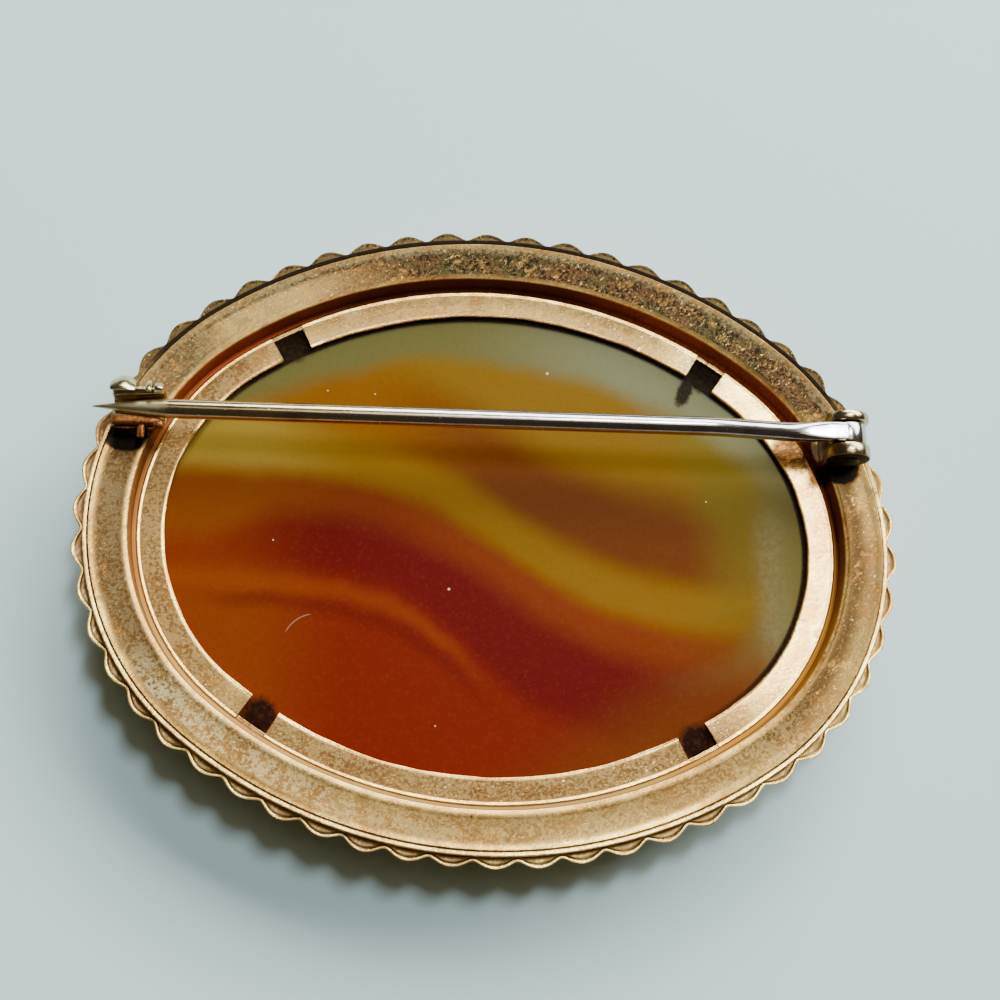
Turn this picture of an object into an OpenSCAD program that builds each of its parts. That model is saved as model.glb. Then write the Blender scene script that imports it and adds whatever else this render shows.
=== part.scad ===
// Oval agate brooch, seen from its back: it lies face down, its back and its pin up.
// Millimetres. X runs along the oval, Y across it, Z up out of the back.
// The origin is the middle of the oval, on the surface that the front frame rests on.

/* [Stone] */
// Length of the cabochon
stone_l = 40; // [39:0.5:41]
// Thickness of the cabochon, from the top of its dome to its flat back
stone_t = 4; // [3.9:0.05:4.1]

/* [Bezel] */
// How far the bent lip reaches in over the stone's back
lip_reach = 1.3; // [1:0.1:1.8]
// Width of each of the four notches that split the lip
notch_w = 1.85; // [1.2:0.05:2.4]
// Direction of the notches, from the long axis
notch_at = 59.5; // [56:0.5:70]

/* [Back band] */
// Width of the flat band that carries the hinge and the catch
band_w = 2.25; // [2.1:0.05:2.3]
// Depth of the shallow channel between the band's raised edges
channel_dip = 0.18; // [0.1:0.02:0.24]

/* [Scalloped edge] */
// Number of scallops round the edge, of the form 4n + 2
scallops = 54; // [50:4:58]
// How far a scallop stands out past the notch beside it
scallop_out = 0.5; // [0.3:0.05:0.7]

/* [Pin] */
// Thickness of the pin's wire
wire_d = 1.1; // [0.9:0.05:1.1]
// How far the pin's line lies from the long axis, at the middle
pin_y = 6.15; // [5.9:0.05:6.4]
// Angle between the pin and the long axis
pin_slant = 2; // [0:0.5:3]
// Height of the slight bend near the hinge
bend_rise = 0.8; // [0:0.1:1]

/* [Hidden] */
$fn = 48;

// The oval is drawn with four arcs whose centres and joints lie on 3-4-5 triangles,
// so that every outline at a distance from the stone's edge is again four arcs.
tri = 2.5;
end_c = 3 * tri;
side_c = 4 * tri;
end_r = stone_l / 2 - end_c;
side_r = end_r + 5 * tri;
joint_a = atan2(4, 3);

// Heights of the stack, from the surface that it lies on
dome_z = 0.2;
back_z = dome_z + stone_t;
lip_under = back_z + 0.15;
lip_top = lip_under + 0.25;
band_top = lip_top + 1.4;
seat_z = 3;
fit_gap = 0.05;
ledge_z = band_top - 0.8;
collar_z = band_top - 0.15;
edge_z = band_top - 0.6;

// Distances from the stone's edge, outwards
bezel_in = 0.05;
bezel_out = 0.3;
band_in = 0.55;
band_out = band_in + band_w;
collar_in = band_out + fit_gap;
collar_out = collar_in + 0.24;
valley = collar_in + 0.5;

// The fittings: both lie on the line of the pin
pin_z = band_top + 1.4;
wire_r = wire_d / 2;
hinge_x = 20.3;
eye_r = 1.1;
rivet_r = 0.42;
ear_r = 1.3;
ear_gap = 0.65;
ear_t = 0.6;
bend_x = 12.5;
taper_x = -18.9;
tip_x = -23;
tip_r = 0.06;
catch_y = 0.15;
catch_left = -22.1;
catch_right = -19.12;
slot_left = -20.65;
slot_right = -20.05;
cheek_right = -19.7;
shell_r = 1.45;
shell_bore = 1.2;
rotor_r = 1.13;
rotor_bore = 0.85;

// Profile of the front frame as [distance out, height, share of the scallop]
frame_profile = [
    [-0.9, 1.6, 0],
    [0.7, 0, 0],
    [1.3, 0, 0],
    [2.6, 1.3, 0.1],
    [valley - 0.25, 3.4, 0.6],
    [valley, edge_z - 0.05, 1],
    [valley - 0.22, edge_z, 0.95],
    [collar_out + 0.04, edge_z - 0.6, 0.15],
    [collar_out, collar_z, 0],
    [collar_in, collar_z, 0],
    [collar_in, ledge_z, 0],
    [collar_in - 0.45, ledge_z, 0],
    [1.9, 1.9, 0],
    [0.95, seat_z, 0],
    [-0.9, seat_z - 0.4, 0]
];

// Samples along each scallop
scallop_steps = 5;
steps = scallops * scallop_steps;

// Lengths of a half end arc and a half side arc along the scallops, and of a quarter
end_len = (end_r + valley) * joint_a * PI / 180;
side_len = (side_r + valley) * (90 - joint_a) * PI / 180;
quarter = end_len + side_len;

// Direction out of the oval at length s in the first quarter
function first_dir(s) =
    s < end_len ? joint_a * s / end_len : joint_a + (90 - joint_a) * (s - end_len) / side_len;

// Centre of the arc for a direction in the first quarter
function first_c(a) = a < joint_a ? [end_c, 0] : [0, -side_c];

// Radius of the arc for a direction in the first quarter
function first_r(a) = a < joint_a ? end_r : side_r;

// Point at length s round the whole oval, at a distance d out of the stone's edge
function round_point(s, d) =
    let (
        q = floor(s / quarter + 1e-9) % 4,
        along = s - floor(s / quarter + 1e-9) * quarter,
        mirrored = q % 2 == 1,
        a = first_dir(mirrored ? quarter - along : along),
        p = first_c(a) + (first_r(a) + d) * [cos(a), sin(a)],
        sx = (q == 0 || q == 3) ? 1 : -1,
        sy = q < 2 ? 1 : -1
    )
    [sx * p[0], sy * p[1]];

// How far a scallop stands out at step i: nothing in its notches, all of it at its tip.
// The first step is the tip of the scallop on the long axis.
function bulge(i) =
    scallop_out * abs(sin(180 * ((i % scallop_steps) / scallop_steps + 0.5)));

// A polygon of [distance out, height] turned fully round one arc's centre
module turned(profile, radius) {
    rotate_extrude()
        translate([radius, 0])
            polygon(profile);
}

// A polygon of [distance out, height] carried once round the oval. The planes that part
// its four arcs run through their centres, three across for four along.
module oval_ring(profile) {
    wide = 10;
    tall = 20;
    for (side = [0, 1])
        mirror([side, 0, 0])
            intersection() {
                translate([end_c, 0, 0])
                    turned(profile, end_r);
                translate([end_c, 0, -1])
                    linear_extrude(tall)
                        polygon([[0, 0], [3 * wide, -4 * wide], [3 * wide, 4 * wide]]);
            }
    for (side = [0, 1])
        mirror([0, side, 0])
            intersection() {
                translate([0, -side_c, 0])
                    turned(profile, side_r);
                translate([0, -side_c, -1])
                    linear_extrude(tall)
                        polygon([[0, 0], [3 * wide, 4 * wide], [-3 * wide, 4 * wide]]);
            }
}

// A flat oval, a distance d out of the stone's edge
module oval(d) {
    intersection() {
        translate([0, -side_c])
            circle(side_r + d, $fn = 180);
        translate([0, side_c])
            circle(side_r + d, $fn = 180);
        square([2 * end_c + 1.2 * (end_r + d), 60], center = true);
    }
    for (side = [-1, 1])
        translate([side * end_c, 0])
            circle(end_r + d, $fn = 180);
}

// Puts the fittings on the line of the pin
module on_pin_line() {
    translate([0, pin_y, 0])
        rotate([0, 0, pin_slant])
            children();
}

// A piece of tube along X whose wall runs from one angle to another, counted from the
// far side of the brooch over the top
module open_tube(x0, x1, r_out, r_in, from, to) {
    translate([x0, 0, 0])
        rotate([90, 0, 90])
            rotate([0, 0, from])
                rotate_extrude(angle = to - from)
                    translate([r_in, 0])
                        square([r_out - r_in, x1 - x0]);
}

// Stamped front frame: a hollow, bulging border with a scalloped edge and a thin collar
module frame() {
    n = len(frame_profile);
    points = [
        for (i = [0:steps - 1], p = frame_profile)
            let (xy = round_point(4 * quarter * i / steps, p[0] + p[2] * bulge(i)))
            [xy[0], xy[1], p[1]]
    ];
    faces = [
        for (i = [0:steps - 1], j = [0:n - 1], half = [0, 1])
            let (
                a = i * n + j,
                b = i * n + (j + 1) % n,
                c = (i + 1) % steps * n + (j + 1) % n,
                d = (i + 1) % steps * n + j
            )
            half == 0 ? [a, b, c] : [a, c, d]
    ];
    color("darkgoldenrod")
        polyhedron(points, faces);
}

// Ring of the band: two raised edges with a shallow channel, and a wall down to the seat
module band_ring() {
    oval_ring([
        [band_in, seat_z + fit_gap],
        [band_in + 0.3, seat_z + fit_gap],
        [band_in + 0.35, band_top - 0.55],
        [band_out - 0.4, band_top - 0.55],
        [band_out - 0.4, ledge_z + fit_gap],
        [band_out, ledge_z + fit_gap],
        [band_out, band_top - 0.1],
        [band_out - 0.06, band_top - 0.02],
        [band_out - 0.16, band_top],
        [band_out - 0.28, band_top - 0.03],
        [band_out - 0.4, band_top - 0.12],
        [band_out - 0.7, band_top - channel_dip],
        [band_in + 0.7, band_top - channel_dip],
        [band_in + 0.4, band_top - 0.12],
        [band_in + 0.28, band_top - 0.03],
        [band_in + 0.15, band_top],
        [band_in + 0.05, band_top - 0.03],
        [band_in, band_top - 0.12]
    ]);
}

// Hinge bracket: a base, two round ears and the rivet's bore through both
module hinge_bracket() {
    base_z = band_top - 0.05;
    wide = ear_gap + ear_t;
    difference() {
        union() {
            translate([hinge_x - 1.35, -wide, base_z])
                cube([2.45, 2 * wide, 0.3]);
            translate([hinge_x - 1, -0.8, band_top - 0.3])
                cube([1, 1.6, 0.4]);
            for (side = [-1, 1])
                translate([0, side * (ear_gap + ear_t / 2), 0]) {
                    translate([hinge_x, 0, pin_z])
                        rotate([90, 0, 0])
                            cylinder(r = ear_r, h = ear_t, center = true);
                    translate([hinge_x - 1.2, -ear_t / 2, base_z])
                        cube([2.15, ear_t, pin_z - base_z - 0.4]);
                }
        }
        translate([hinge_x, 0, pin_z])
            rotate([90, 0, 0])
                cylinder(r = rivet_r + 0.02, h = 10, center = true);
    }
}

// Catch housing: a hooked drum, a thin cheek past the thumb slot, and the foot under both
module catch_housing() {
    translate([0, catch_y, pin_z]) {
        open_tube(catch_left, slot_left, shell_r, shell_bore, 185, 410);
        open_tube(slot_right, cheek_right, shell_r, shell_bore, 185, 410);
    }
    translate([slot_left - 0.6, catch_y - 0.9, band_top - 0.3])
        cube([1.35, 1.8, 0.45]);
}

// Back band with the hinge bracket and the catch housing soldered on
module back_band() {
    color("burlywood") {
        band_ring();
        on_pin_line() {
            hinge_bracket();
            catch_housing();
        }
    }
}

// Bezel: a thin wall round the stone whose lip is bent in over its back, with four notches
module bezel() {
    color("goldenrod")
        difference() {
            oval_ring([
                [bezel_in, seat_z + fit_gap],
                [bezel_out, seat_z + fit_gap],
                [bezel_out, lip_top - 0.18],
                [bezel_out - 0.05, lip_top - 0.06],
                [bezel_out - 0.16, lip_top],
                [-lip_reach, lip_top],
                [-lip_reach, lip_under],
                [bezel_in, lip_under]
            ]);
            for (mx = [0, 1], my = [0, 1])
                mirror([mx, 0, 0])
                    mirror([0, my, 0])
                        translate([0, -side_c, lip_under - 0.1])
                            rotate([0, 0, notch_at])
                                translate([side_r - lip_reach - 1, -notch_w / 2, 0])
                                    cube([lip_reach + 1 + bezel_in, notch_w, 1]);
        }
}

// Agate cabochon: a flat back, a straight girdle and a low dome towards the front
module stone() {
    dome_h = 6;
    dome_l = 1.155 * stone_l / 2;
    dome_w = 1.155 * (stone_l / 2 - 2 * tri);
    color("peru")
        intersection() {
            translate([0, 0, dome_z - 1])
                linear_extrude(back_z - dome_z + 1)
                    oval(0);
            translate([0, 0, dome_z + dome_h])
                scale([dome_l / dome_h, dome_w / dome_h, 1])
                    sphere(dome_h, $fn = 96);
        }
}

// Rivet through the two ears and the pin's eye, with a low head on each side
module hinge_rivet() {
    reach = ear_gap + ear_t + 0.03;
    color("goldenrod")
        on_pin_line()
            translate([hinge_x, 0, pin_z])
                rotate([90, 0, 0])
                    rotate_extrude()
                        polygon([
                            [0, -reach - 0.22],
                            [0.35, -reach - 0.19],
                            [0.6, -reach - 0.1],
                            [0.68, -reach],
                            [rivet_r, -reach],
                            [rivet_r, reach],
                            [0.68, reach],
                            [0.6, reach + 0.1],
                            [0.35, reach + 0.19],
                            [0, reach + 0.22]
                        ]);
}

// A round bar along the line from one point to another, turned from [radius, length] pairs
module bar(from, to, pairs) {
    run = to - from;
    translate(from)
        rotate([0, acos(run[2] / norm(run)), atan2(run[1], run[0])])
            rotate_extrude()
                polygon([[0, 0], each pairs, [0, pairs[len(pairs) - 1][1]]]);
}

// Pin stem: an eye on the rivet, a short rise to a slight bend, and a straight sharp wire
module pin_stem() {
    hinge = [hinge_x, 0, pin_z];
    bend = [bend_x, 0, pin_z + bend_rise];
    tip = [tip_x, 0, pin_z];
    whole = norm(tip - bend);
    even = whole * (bend_x - taper_x) / (bend_x - tip_x);
    color("silver")
        on_pin_line()
            difference() {
                union() {
                    translate(hinge)
                        rotate([90, 0, 0])
                            cylinder(r = eye_r, h = wire_d + 0.06, center = true);
                    bar(hinge, bend, [[wire_r, 0], [wire_r, norm(bend - hinge)]]);
                    translate(bend)
                        sphere(wire_r + 0.03);
                    bar(bend, tip, [[wire_r, 0], [wire_r, even], [tip_r, whole]]);
                }
                translate(hinge)
                    rotate([90, 0, 0])
                        cylinder(r = rivet_r + 0.03, h = 10, center = true);
            }
}

// Catch rotor: an open sleeve in the housing, a flange past the cheek and a thumb tab
module catch_rotor() {
    flange_gap = 0.08;
    tab_gap = 0.07;
    color("darkgoldenrod")
        on_pin_line()
            translate([0, catch_y, pin_z]) {
                open_tube(catch_left + 0.05, catch_right, rotor_r, rotor_bore, 155, 405);
                open_tube(cheek_right + flange_gap, catch_right, 1.3, rotor_bore, 155, 405);
                rotate([178, 0, 0])
                    translate([slot_left + tab_gap, rotor_bore + 0.1, -0.16])
                        cube([slot_right - slot_left - 2 * tab_gap, 1.1, 0.32]);
            }
}

frame();
back_band();
bezel();
stone();
hinge_rivet();
pin_stem();
catch_rotor();
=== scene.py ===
# %% [markdown]
# # The back of an oval agate brooch
#
# The object is a brooch of about 48 by 38 mm that lies face down. From the back it shows, from the
# outside inwards: the scalloped edge of a stamped gilt border, a soldered band with two raised
# edges and a shallow channel, a deep gutter, a bezel whose lip is bent in over the stone and opened
# by four notches, and the flat back of a banded agate. A steel pin runs across it from a hinge on
# the right to a turning safety catch on the left.
#
# CAD has already fixed the sizes, the hinge and the catch. This script dresses that frame: every
# form is a surface computed from a formula, and every finish is a procedural material. The lesson
# is that an oval made of arcs lets one function carry any profile round it.

# %% Load the frame
import bpy
import math
import numpy as np
from mathutils import Euler, Matrix, Vector


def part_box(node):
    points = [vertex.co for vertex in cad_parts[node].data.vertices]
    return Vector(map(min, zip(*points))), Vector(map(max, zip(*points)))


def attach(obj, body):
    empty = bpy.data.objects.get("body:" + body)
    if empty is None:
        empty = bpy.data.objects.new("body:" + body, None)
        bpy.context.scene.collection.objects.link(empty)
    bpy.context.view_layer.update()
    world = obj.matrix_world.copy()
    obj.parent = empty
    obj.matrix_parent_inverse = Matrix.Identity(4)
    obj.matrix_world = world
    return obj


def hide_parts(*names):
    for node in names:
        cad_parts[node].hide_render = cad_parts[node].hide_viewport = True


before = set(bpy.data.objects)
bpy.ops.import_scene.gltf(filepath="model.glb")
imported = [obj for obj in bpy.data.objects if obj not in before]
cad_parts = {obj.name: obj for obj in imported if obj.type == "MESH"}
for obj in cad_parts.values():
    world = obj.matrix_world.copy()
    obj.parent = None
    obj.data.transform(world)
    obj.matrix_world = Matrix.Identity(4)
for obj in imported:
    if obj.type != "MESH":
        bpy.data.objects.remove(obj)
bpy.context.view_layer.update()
MM = 0.001


# %% [markdown]
# ## Sizes
#
# The frame is asked for the places of its parts, so that the dressed surfaces sit exactly on them.
# The stone gives the oval, the border its outer edge, and the rivet the height and the place of
# the pin's line. Everything below is in millimetres and becomes metres when a mesh is made.
#
# The oval is four arcs. Their centres lie at 3 and 4 times one length, so the arcs meet where a
# 3-4-5 triangle puts the joint, and any outline at a constant distance is again four arcs.

# %% Sizes from the frame
def place(node):
    """Lowest and highest corner of a CAD node in millimetres."""
    return np.array(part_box(node)) / MM


stone_low, stone_high = place("stone")
border_high = place("frame")[1]
rivet_middle = place("hinge_rivet").mean(0)

TRI = (stone_high[0] - stone_high[1]) / 2
END_R = stone_high[0] - 3 * TRI
SIDE_R = END_R + 5 * TRI
JOINT = math.atan2(4, 3)
NOTCH_TURN = math.radians(59.5)
BACK_Z = stone_high[2]
LIP_TOP = place("bezel")[1, 2]
BAND_TOP = border_high[2] + 0.15
FOOT_Z = 3.05
SLANT = math.radians(2)
HINGE_X = 20.3
PIN_Y = rivet_middle[1] - HINGE_X * math.sin(SLANT)
PIN_Z = rivet_middle[2]
BAND_IN, BAND_OUT = 0.55, 2.8
COLLAR_IN, COLLAR_OUT = 2.85, 3.09
VALLEY = 3.35
SCALLOPS = 54
SCALLOP_OUT = border_high[0] - stone_high[0] - VALLEY
print("oval arcs", round(TRI, 3), round(END_R, 3), "band top", round(BAND_TOP, 3))
print("pin line at y", round(PIN_Y, 3), "z", round(PIN_Z, 3), "scallop", round(SCALLOP_OUT, 3))

# %% [markdown]
# ## Round the oval
#
# A turner thinks of such a ring as one section carried round. One function gives, for lengths
# along the oval, the arc's centre, its radius and the outward direction. The next ones find a
# point there, or a whole ring: a distance out and a height at every station. Because both may
# change from station to station, one function makes a plain ring, a scalloped edge and a lip with
# notches.

# %% Oval arcs and rings
def quadrant(part):
    """Signs of x and y in the quadrants 0 to 3."""
    middle = (part + 0.5) * math.pi / 2
    return np.sign(np.cos(middle)), np.sign(np.sin(middle))


def oval_arcs(length, reach):
    """Arcs of the oval at lengths along the outline that lies reach outside the stone's edge.
    In direction a the outline is centre + (radius + reach) (cos a, sin a): the end arcs have centre
    (+-3t, 0) and radius R, the side arcs (0, -+4t) and R + 5t, and they meet where tan a = 4/3."""
    end_len = (END_R + reach) * JOINT
    side_len = (SIDE_R + reach) * (math.pi / 2 - JOINT)
    quarter = end_len + side_len
    length = np.mod(length, 4 * quarter)
    part = np.minimum((length / quarter).astype(int), 3)
    along = length - part * quarter
    along = np.where(part % 2 == 1, quarter - along, along)
    on_end = along < end_len
    turn = JOINT + (math.pi / 2 - JOINT) * (along - end_len) / side_len
    angle = np.where(on_end, JOINT * along / end_len, turn)
    signs = np.stack(quadrant(part), -1)
    centre = np.where(on_end[:, None], (3 * TRI, 0), (0, -4 * TRI)) * signs
    direction = np.stack([np.cos(angle), np.sin(angle)], -1) * signs
    return centre, np.where(on_end, END_R, SIDE_R), direction


def oval_length(reach):
    """Length round the outline at a distance reach outside the stone's edge: 4 (r1 a + r2 b)."""
    return 4 * ((END_R + reach) * JOINT + (SIDE_R + reach) * (math.pi / 2 - JOINT))


def evenly(count, reach):
    """Lengths of count even stations round the outline at reach."""
    return np.arange(count) / count * oval_length(reach)


def on_oval(length, reach, out):
    """Points at a distance out from the stone's edge: centre + (radius + out) direction."""
    centre, radius, direction = oval_arcs(length, reach)
    return centre + (radius + out)[:, None] * direction


def ring(length, reach, out, height):
    """Grid of points for arrays out and height of shape (stations, profile points): each point is
    centre + (radius + out) direction, lifted to height."""
    centre, radius, direction = oval_arcs(length, reach)
    flat = centre[:, None] + (radius[:, None] + out)[..., None] * direction[:, None]
    return np.concatenate([flat, height[..., None]], -1)


print("round the scallops:", round(oval_length(VALLEY), 1), "mm")

# %% [markdown]
# ## Profiles
#
# The sections of real sheet and wire have no sharp corners, and no hand keeps them quite even. So a
# profile is given by its corners and how far each is cut, and a sum of slow waves makes it wander.
# A straight rise between 0 and 1 tells where on the ring a change begins and ends.

# %% Soft corners, waves and ramps
def rounded(corners, top=0.0, steps=4):
    """A closed profile with soft corners. Each row of corners is (out, height above top, cut). A
    corner P becomes the curve (1-k)^2 A + 2k(1-k) P + k^2 B, where A and B lie at cut from it."""
    corners = np.array(corners, float) + [0, top, 0]
    p, cut = corners[:, :2], corners[:, 2:3]
    before, after = np.roll(p, 1, 0) - p, np.roll(p, -1, 0) - p
    a = p + cut * before / np.linalg.norm(before, axis=1, keepdims=True)
    b = p + cut * after / np.linalg.norm(after, axis=1, keepdims=True)
    k = np.linspace(0, 1, steps)[None, :, None]
    curve = (1 - k) ** 2 * a[:, None] + 2 * k * (1 - k) * p[:, None] + k**2 * b[:, None]
    return curve.reshape(-1, 2)


def carried(profile, count):
    """The profile's out and height, repeated for count stations."""
    return np.repeat(profile.T[:, None], count, 1)


def wander(length, total, seed, waves=(3, 5, 9, 14, 23)):
    """Smooth unevenness round a ring, about -1 to 1: the sum over waves n of
    sin(2 pi n s / total + phase) / sqrt(n), as left by a hand that files and burnishes."""
    phase = np.random.default_rng(seed).uniform(0, 2 * math.pi, len(waves))
    n = np.array(waves, float)
    terms = np.sin(2 * math.pi * np.asarray(length)[..., None] * n / total + phase) / np.sqrt(n)
    return terms.sum(-1) / np.sqrt((1 / n).sum())


def ramp(value, start, run):
    """0 up to start, 1 from start + run on and straight between; a negative run falls."""
    return np.clip((value - start) / run, 0, 1)


square = rounded([(0, 0, 1), (4, 0, 1), (4, 4, 1), (0, 4, 1)])
print("a square with soft corners has", len(square), "points")

# %% [markdown]
# ## Closing a grid into a skin, and making a piece
#
# A surface is a grid whose columns always close on themselves. Its rows either close too, as on a
# ring, or end in a fan round a middle point, as on a bar. The sign of the enclosed volume tells
# whether the faces look outwards, so no face has to be turned by hand.

# %% Skins and pieces
def skin(grid, closed=True):
    """Points, quads and triangles of a closed skin over a grid (rows, columns, 3). The volume
    sum(a . (b x c)) / 6 over its triangles is made positive, so that the faces look outwards."""
    rows, cols = grid.shape[:2]
    r = np.arange(rows if closed else rows - 1)[:, None]
    c = np.arange(cols)[None]
    here, there = r * cols, (r + 1) % rows * cols
    nxt = (c + 1) % cols
    quads = np.stack([here + c, here + nxt, there + nxt, there + c], -1).reshape(-1, 4)
    points = grid.reshape(-1, 3)
    tris = np.zeros((0, 3), int)
    if not closed:
        n = len(points)
        points = np.vstack([points, grid[0].mean(0), grid[-1].mean(0)])
        low, high = c.ravel(), nxt.ravel()
        start = np.stack([high, low, np.full(cols, n)], -1)
        end = np.stack([low, high, np.full(cols, n + 1)], -1)
        end[:, :2] += (rows - 1) * cols
        tris = np.vstack([start, end])
    every = np.vstack([quads[:, :3], quads[:, [0, 2, 3]], tris])
    a, b, d = points[every[:, 0]], points[every[:, 1]], points[every[:, 2]]
    if np.einsum("ij,ij->", a, np.cross(b, d)) < 0:
        quads, tris = quads[:, ::-1], tris[:, ::-1]
    return points, quads, tris


def piece(name, skins, material, body, node, marks=None):
    """One object from closed skins: their points and faces are stacked, in metres. marks gives
    extra numbers for each point, which the materials can read."""
    first = np.cumsum([0] + [len(s[0]) for s in skins])
    points = np.vstack([s[0] for s in skins]) * MM
    faces = []
    for kind in (1, 2):
        faces += [face for s, n in zip(skins, first) for face in (s[kind] + n).tolist()]
    mesh = bpy.data.meshes.new(name)
    mesh.from_pydata(points.tolist(), [], faces)
    mesh.validate()
    for key, values in (marks or {}).items():
        stored = mesh.attributes.new(key, "FLOAT", "POINT")
        stored.data.foreach_set("value", values.astype(np.float32).ravel())
    mesh.shade_smooth()
    mesh.set_sharp_from_angle(angle=math.radians(38))
    mesh.materials.append(material)
    made = bpy.data.objects.new(name, mesh)
    bpy.context.scene.collection.objects.link(made)
    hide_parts(node)
    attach(made, body)
    print(name, len(points), "points", len(faces), "faces")


# %% [markdown]
# ## Writing materials as formulas
#
# A finish is easier to read as arithmetic than as a web of nodes. A Field stands for one value in
# a material and knows plus, minus, times and divide, and two curves: a smooth step and a bump.

# %% Fields
def colour(red, green, blue):
    """A colour from the 0 to 255 values that the eye reads on a screen, as linear light:
    ((c / 255 + 0.055) / 1.055) ^ 2.4 above the dark end."""
    c = np.array([red, green, blue]) / 255
    linear = np.where(c > 0.04045, ((c + 0.055) / 1.055) ** 2.4, c / 12.92)
    return (*[float(x) for x in linear], 1.0)


class Field:
    """One value in a material. Arithmetic on it adds the nodes that work it out."""

    def __init__(self, paint, socket):
        self.paint, self.socket = paint, socket

    def __add__(self, other):
        return self.paint.math("ADD", self, other)

    def __sub__(self, other):
        return self.paint.math("SUBTRACT", self, other)

    def __rsub__(self, other):
        return self.paint.math("SUBTRACT", other, self)

    def __mul__(self, other):
        return self.paint.math("MULTIPLY", self, other)

    def __truediv__(self, other):
        return self.paint.math("DIVIDE", self, other)

    __radd__, __rmul__ = __add__, __mul__

    def __abs__(self):
        return self.paint.math("ABSOLUTE", self)

    def step(self, start, end):
        """0 before start, 1 after end and a smooth s-curve between; start may be the larger."""
        inputs = {"Value": self, "From Min": start, "From Max": end}
        return self.paint.node("MapRange", {"interpolation_type": "SMOOTHSTEP"}, inputs)

    def near(self, middle, width):
        """A bump of 1 at middle that has died away at width on either side."""
        return abs(self - middle).step(width, 0)


print("the grey of half light is", [round(c, 3) for c in colour(188, 188, 188)])

# %% [markdown]
# A Paint makes the nodes. One method adds any node by its type, its settings and its inputs, and a
# few short ones name the common cases.

# %% Paint
class Paint:
    """A material under construction, with the point on the object in millimetres as self.at."""

    def __init__(self, name, tone=colour):
        self.material = bpy.data.materials.new(name)
        self.material.use_nodes = True
        self.tree = self.material.node_tree
        self.surface = self.tree.nodes["Principled BSDF"]
        self.tone = tone
        place_on = self.node("TexCoord", output="Object")
        self.at = self.node("VectorMath", {"operation": "SCALE"}, {0: place_on, "Scale": 1000})
        parts = self.node("SeparateXYZ", inputs={0: self.at}).socket.node.outputs
        self.x, self.y, self.z = [Field(self, part) for part in parts]

    def put(self, socket, value):
        """Links a Field to a socket, or sets the socket to a plain value."""
        if isinstance(value, Field):
            self.tree.links.new(value.socket, socket)
        else:
            socket.default_value = value

    def node(self, kind, settings=None, inputs=None, output=0):
        """Any node: its settings first, then its inputs by name or number; gives one output."""
        made = self.tree.nodes.new("ShaderNode" + kind)
        for key, value in (settings or {}).items():
            setattr(made, key, value)
        for key, value in (inputs or {}).items():
            self.put(made.inputs[key], value)
        return Field(self, made.outputs[output])

    def math(self, operation, a, b=0.0):
        return self.node("Math", {"operation": operation}, {0: a, 1: b})

    def most(self, first, *others):
        """The largest of some values."""
        for other in others:
            first = self.math("MAXIMUM", first, other)
        return first

    def mark(self, key):
        """One of the extra numbers stored on the mesh."""
        return self.node("Attribute", {"attribute_name": key}, output="Fac")

    def distance(self, *spot):
        """How far the point on the object lies from a spot, in millimetres."""
        return self.node("VectorMath", {"operation": "DISTANCE"}, {0: self.at, 1: spot}, "Value")

    def noise(self, where, scale, detail=3, rough=0.5):
        """Cloudy noise of about 0 to 1, with scale bumps to the millimetre."""
        inputs = {"Vector": where, "Scale": scale, "Detail": detail, "Roughness": rough}
        return self.node("TexNoise", inputs=inputs, output="Fac")

    def stretched(self, along, across, angle):
        """The point turned by angle and scaled, so that noise there is drawn out in streaks."""
        c, s = math.cos(angle), math.sin(angle)
        u = (self.x * c + self.y * s) * along
        v = (self.y * c - self.x * s) * across
        return self.node("CombineXYZ", inputs={0: u, 1: v, 2: self.z * across})

    def mix(self, share, a, b):
        """Colour a where share is 0 and b where it is 1. Three plain numbers are read by tone."""
        a, b = [self.tone(*c) if isinstance(c, tuple) and len(c) == 3 else c for c in (a, b)]
        settings = {"data_type": "RGBA", "clamp_factor": True}
        return self.node("Mix", settings, {0: share, 6: a, 7: b}, 2)

    def over(self, base, *layers):
        """A base colour under layers of (share, colour), each one over those before it."""
        for share, top in layers:
            base = self.mix(share, base, top)
        return base

    def bump(self, height, distance, strength):
        """A normal that leans as if the surface rose by height times distance, in metres."""
        inputs = {"Height": height, "Distance": distance, "Strength": strength}
        return self.node("Bump", inputs=inputs)

    def finish(self, **values):
        """Sets inputs of the surface, named with underscores for spaces."""
        for key, value in values.items():
            self.put(self.surface.inputs[key.replace("_", " ")], value)
        print("paint:", self.material.name, "with", len(self.tree.nodes), "nodes")
        return self.material
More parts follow.
